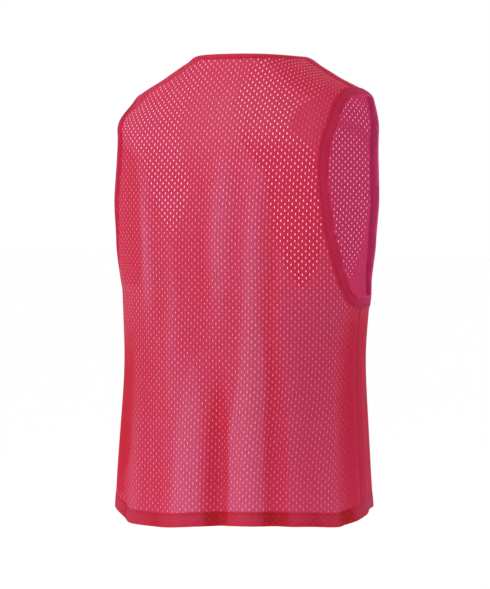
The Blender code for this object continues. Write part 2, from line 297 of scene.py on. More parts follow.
def eased(table, column, at):
    """A column of a table at places along its first column, eased from row to row."""
    places = np.array([row[0] for row in table])
    values = np.array([getattr(row, column) for row in table])
    rises = np.diff(values) / np.diff(places)
    before, after = rises[:-1], rises[1:]
    slopes = np.concatenate((rises[:1], np.zeros(len(before)), rises[-1:]))
    same = before * after > 0
    slopes[1:-1][same] = 2 * before[same] * after[same] / (before[same] + after[same])
    at = np.clip(at, places[0], places[-1])
    i = np.clip(np.searchsorted(places, at, side="right") - 1, 0, len(rises) - 1)
    step = places[i + 1] - places[i]
    t = (at - places[i]) / step
    return (
        values[i] * (1 + 2 * t) * (1 - t) ** 2
        + slopes[i] * step * t * (1 - t) ** 2
        + values[i + 1] * t * t * (3 - 2 * t)
        + slopes[i + 1] * step * t * t * (t - 1)
    )


def rise(value, start, reach):
    """0 at a start and 1 a reach past it, eased between. A negative reach runs the other way."""
    t = np.clip((value - start) / reach, 0.0, 1.0)
    return t * t * (3 - 2 * t)


def hump(value, middle, width):
    """1 at a middle, dying away to both sides."""
    return np.exp(-(((value - middle) / width) ** 2))


def wrapped(degrees):
    """Degrees round, from -180 to 180."""
    return (degrees + 180) % 360 - 180


def running_length(points, axis):
    """The length run from the first of a line of points to each, along an axis of an array."""
    run = np.cumsum(np.linalg.norm(np.diff(points, axis=axis), axis=-1), axis=axis)
    return np.concatenate((0 * np.take(run, [0], axis=axis), run), axis=axis)


def unit(vectors):
    return vectors / np.linalg.norm(vectors, axis=-1, keepdims=True)


def half_of(column, back, drop):
    """A column that the back and the front of a ring each have."""
    backs, fronts = (eased(RINGS, f"{side}_{column}", drop) for side in MIDDLES)
    return np.where(back, backs, fronts)


def smooth_point(around, drop):
    """Points of the cloth before its folds."""
    angle = np.radians(around)
    across, along = np.sin(angle), np.cos(angle)
    power = half_of("squareness", along > 0, drop)
    depth = half_of("depth", along > 0, drop)
    reach = (np.abs(across) ** power + np.abs(along) ** power) ** (-1 / power)
    x = eased(RINGS, "half_width", drop) * reach * across
    y = eased(RINGS, "centre_y", drop) + depth * reach * along
    point = np.stack((x, y, -drop + 0 * x), axis=-1)
    turn = wrapped(around)
    for settling in SETTLINGS:
        share = hump(drop, settling.drop, settling.reach)
        share = share * hump(turn, settling.around, settling.width)
        point[..., settling.axis] += settling.amount * share
    return point


def outward(around, drop, of):
    """Unit normals of a surface of points, away from the inside of the bib."""
    step, fall = 0.25, 0.0005
    round_it = of(around + step, drop) - of(around - step, drop)
    down_it = of(around, drop + fall) - of(around, drop - fall)
    return unit(np.cross(round_it, down_it))


def fold_depth(around, drop):
    """How far the cloth stands out with its folds and creases."""
    total = 0.0
    for fold in FOLDS:
        turn = wrapped(around - fold.around)
        share = rise(drop, fold.start, fold.reach)
        total = total + fold.depth * share * hump(turn, 0, fold.width)
    for crease in CREASES:
        way = np.clip((drop - crease.top) / (crease.bottom - crease.top), 0, 1)
        turn = wrapped(around - crease.around - crease.lean * way)
        share = np.sin(math.pi * way) ** 1.5
        total = total + crease.depth * share * hump(turn, 0, crease.width)
    return total


def in_patch(patch, around, drop, softness=1.5):
    """1 inside a patch and 0 outside it, soft at its sides over some degrees."""
    start, end = eased(patch, "start", drop), eased(patch, "end", drop)
    inside = np.minimum(around - start, end - around)
    held = (drop > patch[0].drop) & (drop < patch[-1].drop)
    return np.where(held, np.clip(inside / softness + 0.5, 0, 1), 0.0)


def cloth_point(around, drop):
    """Points of the cloth, with its folds."""
    around, drop = np.broadcast_arrays(np.asarray(around, float), np.asarray(drop, float))
    normal = outward(around, drop, smooth_point)
    return smooth_point(around, drop) + fold_depth(around, drop)[..., None] * normal


def moved(around, drop, towards, distance):
    """The degrees and drops that lie a distance along the cloth from others."""
    step, fall = 0.5, 0.001
    per_degree = (cloth_point(around + step, drop) - cloth_point(around - step, drop)) / (2 * step)
    per_drop = (cloth_point(around, drop + fall) - cloth_point(around, drop)) / fall

    def dot(one, two):
        return (one * two).sum(axis=-1)

    one, two, both = dot(per_degree, per_degree), dot(per_drop, per_drop), dot(per_degree, per_drop)
    right, down = dot(per_degree, towards) * distance, dot(per_drop, towards) * distance
    share = one * two - both * both
    return around + (right * two - down * both) / share, drop + (down * one - right * both) / share


def armhole_edge(place, hand):
    """An armhole's finished edge: 0 underarm, up the back, 1 shoulder tip, down the front, 2."""
    place = place % 2
    back = place <= 1
    turn = np.where(back, place, 2 - place) * math.pi
    back_cut, front_cut = (
        cut.degrees * np.abs(np.sin(turn)) ** cut.rounding * (1 - cut.upper * np.cos(turn))
        for cut in (BACK_CUT, FRONT_CUT)
    )
    around = hand * (SIDE - np.where(back, back_cut, -front_cut))
    return around, UNDERARM + (SHOULDER_DROP - UNDERARM) * (1 - np.cos(turn)) / 2


def neck_edge(place):
    """The neck's finished edge: 0 right neck point, over the back, 1 left one, the front, 2."""
    place = place % 2
    turn = place * math.pi
    back = place <= 1
    cosine, share = np.cos(turn), np.sin(turn) ** 2
    drop = np.where(back, -BACK_NECK_RISE * (1 - cosine**4), FRONT_NECK_DROP * share)
    narrowing = NECK_HALF_WIDTH / eased(RINGS, "half_width", drop)
    scoop = np.copysign(np.sqrt(1 - share**2), -cosine) * narrowing
    across = np.where(back, -cosine, scoop)
    power = half_of("squareness", back, drop)
    level = np.clip(1 - np.abs(across) ** power, 0, 1) ** (1 / power)
    around = np.degrees(np.arctan2(across, level))
    return np.where(back, around, 180 - around), drop


def hem_edge(place):
    """The lower edge, from the right side seam, 0, over the back, 1, and the front, 2."""
    around = -SIDE + 180 * place
    return around, eased(HEM_LINE, "drop", wrapped(around))


class Edge:
    """A finished edge of the cloth at even stations, with the way from it into the cloth."""

    def __init__(self, trace, hand, start=0.0, end=2.0):
        places = np.linspace(start, end, TRACE_PLACES)
        points = cloth_point(*trace(places))
        run = running_length(points, 0)
        self.length = run[-1]
        self.run = np.linspace(0, self.length, round(self.length / EDGE_STEP) + 1)
        places = np.interp(self.run, run, places)
        self.around, self.drop = trace(places)
        self.points = cloth_point(self.around, self.drop)
        step = 0.002
        along = cloth_point(*trace(places + step)) - cloth_point(*trace(places - step))
        self.into = hand * unit(np.cross(outward(self.around, self.drop, cloth_point), along))

    def strip(self, distance, lift):
        """Points at a distance into the cloth from the edge and a lift off it."""
        half = moved(self.around, self.drop, self.into, distance / 2)
        around, drop = moved(*half, self.into, distance / 2)
        normal = outward(around, drop, cloth_point)
        return cloth_point(around, drop) + normal * np.asarray(lift)[..., None]


class Cut:
    """A panel's flat cut and where it lies on the form.

    Across is the length along the cloth from the panel's middle line, and down the length
    along a thread from where the rows of holes run level.
    """

    def __init__(self, middle):
        drops = np.arange(FORM_TOP, FORM_FOOT, THREAD_STEP)
        turns = np.linspace(-SIDE, SIDE, 2 * HALF_TURNS + 1)
        runs = running_length(cloth_point(middle + turns, drops[:, None]), 1)
        runs -= runs[:, HALF_TURNS, None]
        self.levels, self.reaches = drops, (-runs[:, 0], runs[:, -1])
        self.across = np.arange(-FLAT_ACROSS, FLAT_ACROSS, THREAD_STEP)
        around = np.array([np.interp(self.across, run, turns) for run in runs])
        lengths = running_length(cloth_point(middle + around, drops[:, None]), 0)
        lengths -= lengths[np.argmin(np.abs(drops - LEVEL_ROW))]
        self.down = np.arange(-FLAT_ABOVE, FLAT_BELOW, THREAD_STEP)
        self.drops = np.array([np.interp(self.down, run, drops) for run in lengths.T]).T
        rows = zip(self.drops.T, around.T)
        self.turns = np.array([np.interp(drop, drops, turn) for drop, turn in rows]).T

    def read(self, values, across, down):
        """Values of the cut between its threads and rows."""
        column = np.clip((across - self.across[0]) / THREAD_STEP, 0, len(self.across) - 1.001)
        row = np.clip((down - self.down[0]) / THREAD_STEP, 0, len(self.down) - 1.001)
        i, j = row.astype(int), column.astype(int)
        s, t = row - i, column - j
        upper = values[i, j] * (1 - t) + values[i, j + 1] * t
        lower = values[i + 1, j] * (1 - t) + values[i + 1, j + 1] * t
        return upper * (1 - s) + lower * s

    def beyond(self, across, down):
        """How far flat places lie past the side and shoulder seams, in metres."""
        drop = self.place(across, down)[1]
        right, left = (np.interp(drop, self.levels, reach) for reach in self.reaches)
        return np.where(across < 0, -across - right, across - left)

    def place(self, across, down):
        """Turn from the middle, and drop, of flat places."""
        return self.read(self.turns, across, down), self.read(self.drops, across, down)


def linked(shape, name):
    """A new object at the origin from a bmesh, which is freed."""
    mesh = bpy.data.meshes.new(name)
    shape.to_mesh(mesh)
    shape.free()
    made = bpy.data.objects.new(name, mesh)
    bpy.context.scene.collection.objects.link(made)
    return made


def cloth_piece(shape, name):
    """A smooth piece of the bib from a bmesh, on the bib's one body."""
    piece = linked(shape, name)
    piece.data.shade_smooth()
    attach(piece, "root")
    return piece


def nearest(points, edges):
    """For points, how far inside the nearest edge they lie, and the way in there."""
    tree = KDTree(sum(len(edge.points) for edge in edges))
    stations = np.concatenate([edge.points for edge in edges])
    into = np.concatenate([edge.into for edge in edges])
    for index, station in enumerate(stations):
        tree.insert(station, index)
    tree.balance()
    index = np.array([tree.find(point)[1] for point in points])
    return ((points - stations[index]) * into[index]).sum(axis=1), into[index]


def edges_of_bib():
    """The neck's, the left and the right armhole's and the hem's finished edges."""
    return (
        Edge(neck_edge, 1),
        Edge(lambda place: armhole_edge(place, 1), -1),
        Edge(lambda place: armhole_edge(place, -1), 1),
        Edge(hem_edge, -1),
    )


def lattice():
    """Diamonds of the flat cloth, one to a hole, each with a corner at every side's middle."""
    shape = bmesh.new()
    reach = 2 * LATTICE_REACH
    bmesh.ops.create_grid(shape, x_segments=reach, y_segments=reach, size=LATTICE_REACH)
    wide, tall = HOLE_PITCH[0] / 2, HOLE_PITCH[1] / 2
    turn = Matrix(((wide, -wide, 0, 0), (tall, tall, 0, 0), (0, 0, 1, 0), (0, 0, 0, 1)))
    bmesh.ops.transform(shape, matrix=turn, verts=shape.verts)
    return shape


def flat_cut(cut, middle, edges):
    """A panel's flat cut of whole and half diamonds, with a rimmed hole in each whole one, filled by a
    face of painted light.
    """
    shape = lattice()
    centres = np.array([face.calc_center_median()[:2] for face in shape.faces])
    turns, drops = cut.place(*centres.T)
    beyond = cut.beyond(*centres.T)
    inside, _ = nearest(cloth_point(middle + turns, drops), edges)
    outside = (beyond > SEAM_REACH) | (inside < EDGE_MARGIN) | (drops < FORM_TOP + TOP_MARGIN)
    holed = ~outside & (beyond < -HOLE_MARGIN)
    faces = shape.faces[:]
    for face, hole in zip(faces, holed):
        face.material_index = GLOWING_HOLE if hole else KNIT
    gone = [face for face, out in zip(faces, outside) if out]
    bmesh.ops.delete(shape, geom=gone, context="FACES")
    bmesh.ops.bisect_edges(shape, edges=shape.edges, cuts=1)
    cells = [face for face in shape.faces if face.material_index == GLOWING_HOLE]
    for rim in bmesh.ops.inset_individual(shape, faces=cells, thickness=HOLE_RIM)["faces"]:
        rim.material_index = KNIT
    sizes = bpy.context.scene.bib_sizes
    for cell in cells:
        cell.material_index = GLOWING_HOLE
        centre = cell.calc_center_median()
        for vert in cell.verts:
            angle = math.atan2(vert.co.y - centre.y, vert.co.x - centre.x)
            vert.co.x = centre.x + sizes.hole_width / 2 * math.cos(angle)
            vert.co.y = centre.y + sizes.hole_height / 2 * math.sin(angle)
    return shape


def open_mesh(name, middle, edges):
    """A panel as one layer of knit laid on the form, and its flat width, length and area."""
    cut = Cut(middle)
    piece = cloth_piece(flat_cut(cut, middle, edges), name)
    mesh = piece.data
    flat = np.empty(len(mesh.vertices) * 3)
    mesh.vertices.foreach_get("co", flat)
    across, down = flat.reshape(-1, 3)[:, :2].T
    turns, drops = cut.place(across, down)
    around = middle + turns
    points = cloth_point(around, drops)
    inside, into = nearest(points, edges)
    points += np.clip(PANEL_INSET - inside, 0, None)[:, None] * into
    mesh.vertices.foreach_set("co", points.ravel())
    corners = np.empty(len(mesh.loops), int)
    mesh.loops.foreach_get("vertex_index", corners)
    place = np.stack((across + FLAT_MIDDLE[0], FLAT_MIDDLE[1] - down), axis=1)
    mesh.uv_layers.new(name="cut").data.foreach_set("uv", place[corners].ravel())
    paint_tones(mesh, middle, around, drops)
    mesh.update()
    face_outward(mesh, points)
    mesh.materials.append(knit_material())
    mesh.materials.append(hole_glow_material())
    return piece, float(np.ptp(across)), float(np.ptp(down)), sum(p.area for p in mesh.polygons)


def face_outward(mesh, points):
    """Turn a panel's faces away from the inside of the bib."""
    face = mesh.polygons[len(mesh.polygons) // 2]
    centre = points[list(face.vertices)].mean(axis=0)
    if face.normal.dot(Vector((centre[0], centre[1] - FORM_MIDDLE_Y, 0))) < 0:
        mesh.flip_normals()


def paint_tones(mesh, middle, around, drops):
    """How the knit's colour, its painted light and shade, and the painted light in its holes change over
    a panel.
    """
    turn = wrapped(around)
    seam = hump(turn, -84, 7.5) + rise(turn, -88, -4) * rise(turn, -116, 12)
    side_start = 40 + 9 * rise(drops, 0.57, 0.05)
    side = rise(turn, side_start, 7) * (1 - rise(turn, 60, 18))
    # Zones of painted shade: down the left side, along the right side seam, over the left shoulder and
    # under the left shoulder blade
    zones = {
        "left_side": side * rise(drops, 0.38, 0.09) * (1 - rise(drops, 0.635, 0.02)),
        "right_seam": np.minimum(seam, 1) * rise(drops, 0.32, 0.10),
        "brow": in_patch(BROW_PATCH, turn, drops) * (1 - rise(turn, 63, 12)),
        "dim": in_patch(DIM_PATCH, turn, drops),
    }
    if middle == MIDDLES["back"]:
        own = back_tones(turn, drops, zones["brow"])
    else:
        own = front_tones(turn, drops)

    def most(column):
        return np.maximum.reduce([getattr(ZONES[name], column) * zones[name] for name in ZONES])

    # Painted shading from the folds and the light stretches: above 0 a highlight, below 0 shade
    painted_shading = np.clip(fold_depth(around, drops) / SHADING_DEPTH + own["bright"], -1, 1)
    painted_shading = painted_shading * (1 - 0.8 * zones["left_side"]) * (1 - 0.6 * np.minimum(own["clear"], 1))
    dulled = 0.35 * rise(turn, -34, -10) * rise(drops, 0.34, 0.05)
    # Painted light in the holes, less in the zones and low on the right
    glow = own["glow"] * (1 - most("glow")) * (1 - dulled)
    # Painted cool shade: round the front, low on the right of the back and by the right seam
    cool_shade = np.maximum(rise(np.abs(turn), 84, 14), own["cool_shade"]) * (1 - 0.6 * zones["right_seam"])
    paint(mesh, "painted_shading", painted_shading * (1 - own["plain"]))
    paint(mesh, "glow", np.maximum(glow, own["clear"]))
    paint(mesh, "opening", own["opening"])
    paint(mesh, "nape_light", own["nape_light"])
    paint(mesh, "solid", most("solid"))
    paint(mesh, "cool_shade", np.maximum(cool_shade, 0.6 * zones["right_seam"]))
    # Painted shade, from the panel's own shaded places and from the zones
    paint(mesh, "deep", np.maximum(own["deep"], most("deep")))


def back_tones(turn, drops, brow):
    """The back's own: two clear patches, painted shade along the right shoulder and down the left flank,
    and painted light stretches low down.
    """
    right, left = (in_patch(patch, turn, drops) for patch in CLEAR_PATCHES)
    right = right * (1 - 0.60 * rise(turn, -28, -16) * (1 - rise(drops, 0.05, 0.04)))
    strap = in_patch(STRAP_PATCH, turn, drops)
    shoulder_shade = right_shoulder_shade(turn, drops) * (1 - strap)
    # Painted shade and dimmer hole light down the left flank
    flank = rise(turn, 24, 9) * rise(drops, 0.34, 0.08)
    clear = (right + left) * (1 - np.maximum(strap, 0.85 * brow))
    # Painted shade on the knit in the lower part of the right clear patch
    right_patch_shade = right * (0.20 + 0.60 * rise(drops, 0.10, 0.05))
    glow = (0.48 - 0.19 * rise(drops, 0.10, 0.25)) * (1 - 0.9 * strap)
    strong, faint = (
        in_patch(patch, turn, drops, softness) * rise(drops, patch[0].drop, 0.10)
        for patch, softness in zip(LIGHT_PATCHES, (3.0, 7.0))
    )
    return {
        "clear": clear,
        "opening": 0.12 * clear,
        "deep": np.maximum.reduce((right_patch_shade, 0.5 * flank, 0.45 * strap, shoulder_shade)),
        "glow": glow * (1 - 0.5 * shoulder_shade) * (1 - 0.4 * flank),
        "cool_shade": 0.45 * rise(turn, -28, -12) * rise(drops, 0.30, 0.08),
        # Painted highlight on the light stretches
        "bright": 1.4 * strong + 0.22 * faint,
        "plain": 0.35 * rise(turn, -22, -8) * rise(drops, 0.30, 0.06),
        # Painted light below the nape, where the cloth lies flat to the light
        "nape_light": 0.7 * hump(turn, -5, 22) * hump(drops, 0.085, 0.060),
    }


def front_tones(turn, drops):
    """The front's own: clear patches like the back's, painted shade along the right shoulder and a
    painted highlight down each flank.
    """
    aside = np.abs(turn)
    clear = sum(in_patch(patch, -aside, drops) for patch in FRONT_PATCHES)
    # Painted highlight down each flank
    flank = rise(aside, 146, -4) * rise(drops, 0.12, 0.05) * (1 - rise(drops, 0.36, 0.04))
    none = 0 * turn
    return {
        "clear": clear,
        "opening": 0.22 * clear,
        "deep": right_shoulder_shade(turn, drops),
        "glow": 0.40 * (1 - 0.8 * flank),
        "cool_shade": none,
        "bright": flank,
        "plain": none,
        "nape_light": none,
    }


def right_shoulder_shade(turn, drops):
    """Painted shade along the right shoulder."""
    return rise(turn, -30, -16) * (1 - rise(drops, 0.045, 0.030))


def paint(mesh, name, values):
    """A number for each vertex, for the materials to read."""
    attribute = mesh.attributes.new(name, "FLOAT", "POINT")
    attribute.data.foreach_set("value", np.asarray(values, float))


def strip(name, edge, profile, closed, cool_shade_share=1.0):
    """A folded strip along an edge through a profile of distances and lifts."""
    shape = bmesh.new()
    stations, rows = len(edge.run) - 1, len(profile) - 1
    bmesh.ops.create_grid(shape, x_segments=stations, y_segments=rows, size=0.5)
    places = np.array([edge.strip(distance, lift) for distance, lift in profile])
    across = running_length(np.array(profile), 0)
    layer = shape.loops.layers.uv.new("cut")
    cool_shade = shape.verts.layers.float.new("cool_shade")
    painted_shading = shape.verts.layers.float.new("painted_shading")
    # Painted shading of the folds under the strip
    fold_shading = np.clip(fold_depth(edge.around, edge.drop) / SHADING_DEPTH, -1, 1)
    fronts = cool_shade_share * np.clip((np.abs(edge.around) - SIDE) / FRONT_FADE + 0.5, 0, 1)
    for vert in shape.verts:
        row = round((vert.co.y + 0.5) * rows)
        column = round((vert.co.x + 0.5) * stations)
        for loop in vert.link_loops:
            loop[layer].uv = (edge.run[column], across[row])
        vert.co = places[row, column]
        vert[cool_shade] = fronts[column] * (1 if row > rows / 2 else OUTER_COOL_SHADE)
        vert[painted_shading] = fold_shading[column]
    if closed:
        bmesh.ops.remove_doubles(shape, verts=shape.verts, dist=0.00001)
    bmesh.ops.recalc_face_normals(shape, faces=shape.faces)
    return cloth_piece(shape, name)


def seam_line(hand, top, bottom):
    """The line of a side or shoulder seam, between two drops."""

    def trace(place):
        return hand * SIDE + 0 * place, top + (bottom - top) * place

    return trace


def folded(half):
    """The whole profile of a folded strip: its outer face, the fold and its inner face."""
    outer = [(distance * MM, lift * MM) for distance, lift in half]
    return [*outer, (0.0, 0.0), *[(distance, -lift) for distance, lift in reversed(outer)]]


def ridged(half):
    """The whole profile of a seam, the same on both sides of its middle."""
    left = [(-distance * MM, lift * MM) for distance, lift in half]
    return [*left, *[(-distance, lift) for distance, lift in reversed(left[:-1])]]


class Wire:
    """A number in a shader, on which arithmetic adds Math nodes."""

    def __init__(self, shader, socket):
        self.shader, self.socket = shader, socket

    def maths(self, operation, *others):
        """The wire of a Math node on this number and others."""
        inputs = dict(enumerate((self, *others)))
        return self.shader.node("ShaderNodeMath", {"operation": operation}, inputs)

    def __rsub__(self, other):
        return self.maths("MULTIPLY_ADD", -1, other)

    __add__ = __radd__ = partialmethod(maths, "ADD")
    __sub__ = partialmethod(maths, "SUBTRACT")
    __mul__ = __rmul__ = partialmethod(maths, "MULTIPLY")
    __truediv__ = partialmethod(maths, "DIVIDE")
    fraction = partialmethod(maths, "FRACT")
    larger = partialmethod(maths, "MAXIMUM")
    size = partialmethod(maths, "ABSOLUTE")  # the number without its sign

    def ripple(self, repeat):
        """A wave from -1 to 1 with a repeat this long."""
        return (self * (2 * math.pi / repeat)).maths("SINE")

    def step(self, low=0.0, high=1.0):
        """0 up to low and 1 from high on, eased between."""
        settings = {"interpolation_type": "SMOOTHSTEP"}
        inputs = {"Value": self, "From Min": low, "From Max": high}
        return self.shader.node("ShaderNodeMapRange", settings, inputs)


class Shader:
    """A material's nodes."""

    def __init__(self, name):
        self.material = bpy.data.materials.new(name)
        self.material.use_nodes = True
        self.tree = self.material.node_tree
        self.surface = self.tree.nodes["Principled BSDF"]

    def node(self, kind, settings=None, inputs=None, output=0):
        """A node's output, from its type, settings and the values or wires of its inputs."""
        made = self.tree.nodes.new(kind)
        for name, value in (settings or {}).items():
            setattr(made, name, value)
        self.feed(made, inputs or {})
        return Wire(self, made.outputs[output])

    def feed(self, made, inputs):
        """Link a node's inputs to wires and set the others to numbers and colours."""
        for name, value in inputs.items():
            if isinstance(value, Wire):
                self.tree.links.new(value.socket, made.inputs[name])
            elif hasattr(value, "__len__"):
                made.inputs[name].default_value = (*value[:3], 1.0)
            else:
                made.inputs[name].default_value = value

    def mix(self, share, one, two):
        """A colour between two."""
        settings = {"data_type": "RGBA"}
        return self.node("ShaderNodeMix", settings, {0: share, 6: one, 7: two}, 2)

    def uv(self):
        """Across and along the cut, in metres."""
        place = self.node("ShaderNodeUVMap", {"uv_map": "cut"})
        split = self.node("ShaderNodeSeparateXYZ", {}, {0: place}).socket.node
        return Wire(self, split.outputs[0]), Wire(self, split.outputs[1])

    def noise(self, scale):
        """Even noise through the cloth, from 0 to 1."""
        inputs = {"Vector": self.node("ShaderNodeTexCoord", output=3), "Scale": scale}
        return self.node("ShaderNodeTexNoise", {}, inputs)

    def attribute(self, name):
        """What was painted on the piece under a name."""
        return self.node("ShaderNodeAttribute", {"attribute_name": name}, {}, 2)

    def finish(self, inputs):
        """The material, with these inputs of its surface."""
        self.feed(self.surface, inputs)
        return self.material

    def let_through(self, share, colour):
        """Let a share of the light that falls on one side out at the other, in a colour."""
        sheer = self.node("ShaderNodeBsdfTranslucent", {}, {"Color": colour})
        front = Wire(self, self.surface.outputs[0])
        both = self.node("ShaderNodeMixShader", {}, {0: share, 1: front, 2: sheer})
        self.tree.links.new(both.socket, self.tree.nodes["Material Output"].inputs["Surface"])


def diamond(across, along):
    """Offsets from the nearest hole of the lattice, in millimetres."""
    a, b = across / HOLE_PITCH[0], along / HOLE_PITCH[1]
    one = (a + b + 0.5).fraction() - 0.5
    two = (a - b + 0.5).fraction() - 0.5
    return (one + two) * (HOLE_PITCH[0] / 2 / MM), (one - two) * (HOLE_PITCH[1] / 2 / MM)


def spot(beside, above, inner, outer):
    """1 at a place, from how far it lies beside and above, and 0 further off."""
    return (1 - beside.size().step(inner, outer)) * (1 - above.size().step(0.9, 2.0))


def with_side_shade(shader, colour, looks):
    """A colour, covered by painted shade along the sides where the cloth looks solid."""
    side = shader.mix(shader.attribute("cool_shade"), looks.side_shade_red, looks.right_side_shade_red)
    return shader.mix(shader.attribute("solid"), colour, side)


def cloth_finish(shader, colour, height, grain, sheen):
    """What every piece of the cloth has in common."""
    relief = {"Height": height, "Distance": RELIEF, "Strength": 0.5}
    return shader.finish({
        "Base Color": colour,
        "Roughness": grain * 0.15 + 0.62,
        "Normal": shader.node("ShaderNodeBump", {}, relief),
        "Sheen Weight": sheen,
        "Sheen Roughness": 0.45,
        "Sheen Tint": (1.0, 0.70, 0.85),
        "Specular IOR Level": 0.1,
    })


def knit_material():
    """Open knit: painted shade in the troughs, painted highlight on the ridges, with a spot of painted
    shade by each hole.
    """
    looks = bpy.context.scene.bib_looks
    shader = Shader("mesh_knit")
    across, along = shader.uv()
    painted_shading, cool_shade, deep = (shader.attribute(name) for name in ("painted_shading", "cool_shade", "deep"))
    cloud, grain, fleck = shader.noise(16.0), shader.noise(900.0), shader.noise(260.0)
    blot = shader.noise(7.0).step(0.50, 0.72)
    colour = shader.mix(cloud.step(0.35, 0.65), looks.light_red, looks.pink_red)
    colour = shader.mix(blot * 0.35, colour, looks.shade_and_mottle_red)
    # Painted light below the nape
    colour = shader.mix(shader.attribute("nape_light"), colour, looks.nape_light_red)
    # Painted cool shade round the front, under the arms and low on the right
    colour = shader.mix(cool_shade, colour, looks.cool_shade_red)
    calm = 1 - cool_shade * 0.3
    # Painted highlight on the crests, painted shade in the troughs and in the shaded places
    colour = shader.mix(painted_shading.step() * calm, colour, looks.highlight_red)
    trough = (painted_shading * -1).step().larger(deep)
    colour = shader.mix(trough * calm, colour, looks.shade_and_mottle_red)
    colour = with_side_shade(shader, colour, looks)
    beside, above = diamond(across, along)
    # Painted shade by each hole, where the pillars are also pressed in
    pillar_shade = spot(beside.size() - PILLAR_SHADE_ASIDE, above, 0.2, 1.0)
    colour = shader.mix(pillar_shade * fleck.step(0.40, 0.62) * 0.75, colour, looks.pillar_shade_and_stitch_red)
    threads = across.ripple(WALE) * 0.4 + along.ripple(COURSE) * 0.25
    height = threads + grain * 0.4 - pillar_shade * 0.6
    shader.let_through(looks.sheer, looks.sheer_red)
    return cloth_finish(shader, colour, height, grain, looks.sheen)


def hole_glow_material():
    """Painted light that fills a hole and glows, paler where more of it is painted."""
    looks = bpy.context.scene.bib_looks
    shader = Shader("hole_glow")
    glow, painted_shading, solid = (shader.attribute(name) for name in ("glow", "painted_shading", "solid"))
    fleck = shader.noise(240.0)
    # The holes' painted light is stronger under the painted highlights
    share = glow * (fleck.step(0.30, 0.62) * 0.9 + 0.45) * (1 + painted_shading * 0.35) * (1 - solid)
    colour = shader.mix(share, looks.dim_hole_light, looks.bright_hole_light)
    colour = with_side_shade(shader, colour, looks)
    return shader.finish({
        "Base Color": colour,
        "Roughness": 0.8,
        "Alpha": 1 - shader.attribute("opening") * looks.clearing,
        # Painted glow: the holes' fill gives off light, though it is no lamp
        "Emission Color": shader.mix(share, (0.0, 0.0, 0.0), colour),
        "Emission Strength": 0.45,
        "Specular IOR Level": 0.1,
    })


def strip_material(name, face, stitch, middle_share, over=None, dots=0.0, sheer=None, sewn=0.55):
    """Folded knit with faces of a width, cooler down their middles, stitched by the free edge.

    A colour can lie over it all, dots show the holes of the cloth beneath, and sheer is how
    much light comes through and in what colour.
    """
    looks = bpy.context.scene.bib_looks
    sizes = bpy.context.scene.bib_sizes
    shader = Shader(name)
    along, across = shader.uv()
    grain, cloud, fleck = shader.noise(700.0), shader.noise(40.0), shader.noise(260.0)
    from_fold = (across - face).size()
    aside = (from_fold - face / 2).size() / (face / 2)
    middle = (1 - aside.step(0.15, 0.80)) * middle_share
    colour = shader.mix(middle, looks.binding_edge, looks.binding_middle)
    if over:
        colour = shader.mix(0.8, colour, over)
    colour = shader.mix(cloud.step(0.35, 0.70) * 0.30, colour, looks.shade_and_mottle_red)
    # Painted shade in the troughs and a faint painted highlight on the crests
    painted_shading = shader.attribute("painted_shading")
    colour = shader.mix((painted_shading * -1).step() * 0.8, colour, looks.side_shade_red)
    colour = shader.mix(painted_shading.step() * 0.12, colour, looks.highlight_red)
    # Painted cool shade where the strip runs round the front
    colour = shader.mix(shader.attribute("cool_shade") * 0.85, colour, looks.cool_shade_binding)
    # Dots of painted hole light, for the holes of the cloth beneath
    if dots:
        beside, above = diamond(along, from_fold)
        dot = spot(beside, above, 0.5, 1.3) * fleck.step(0.35, 0.60)
        colour = shader.mix(dot * dots, colour, looks.dim_hole_light)
    zigzag = ((along / sizes.stitch_length).fraction() - 0.5).size() * 4 - 1
    row = from_fold - (face - stitch)
    thread = 1 - (row + zigzag * STITCH_SWING).size().step(0.0005, 0.0010)
    colour = shader.mix(thread * sewn, colour, looks.pillar_shade_and_stitch_red)
    # A pale line beside the stitches, in the dim hole light's colour
    line = 1 - (row - STITCH_GAP).size().step(0.0003, 0.0008)
    colour = shader.mix(line * sewn * 0.5, colour, looks.dim_hole_light)
    height = along.ripple(RIB) * 0.4 + grain * 0.5 + thread * sewn
    shader.let_through(*(sheer or (looks.sheer, looks.sheer_red)))
    return cloth_finish(shader, colour, height, grain, looks.sheen * 0.6)


def tint(name, description, default):
    """A colour that the user can change."""
    return bpy.props.FloatVectorProperty(
        name=name, description=description, subtype="COLOR", size=3, default=default, min=0, max=1
    )


def amount(name, description, default):
    """A share, from 0 to 1, that the user can change."""
    return bpy.props.FloatProperty(
        name=name, description=description, subtype="FACTOR", default=default, min=0, max=1
    )


def length(name, description, default):
    """A length in metres that the user can change."""
    return bpy.props.FloatProperty(
        name=name, description=description, unit="LENGTH", precision=4, default=default, min=0.0002
    )


class BibSizes(bpy.types.PropertyGroup):
    """Sizes of the holes and the stitching."""

    hole_width: length("Hole width", "How wide a hole of the mesh is", 0.0014)
    hole_height: length("Hole height", "How high a hole of the mesh is", 0.0034)
    neck_stitch: length("Neck stitch", "From the neck binding's free edge to its stitches", 0.0016)
    armhole_stitch: length("Armhole stitch", "From a binding's free edge to its stitches", 0.0045)
    hem_stitch: length("Hem stitch", "From a hem's free edge to its stitches", 0.0025)
    stitch_length: length("Stitch length", "One repeat of the stitches", 0.0032)


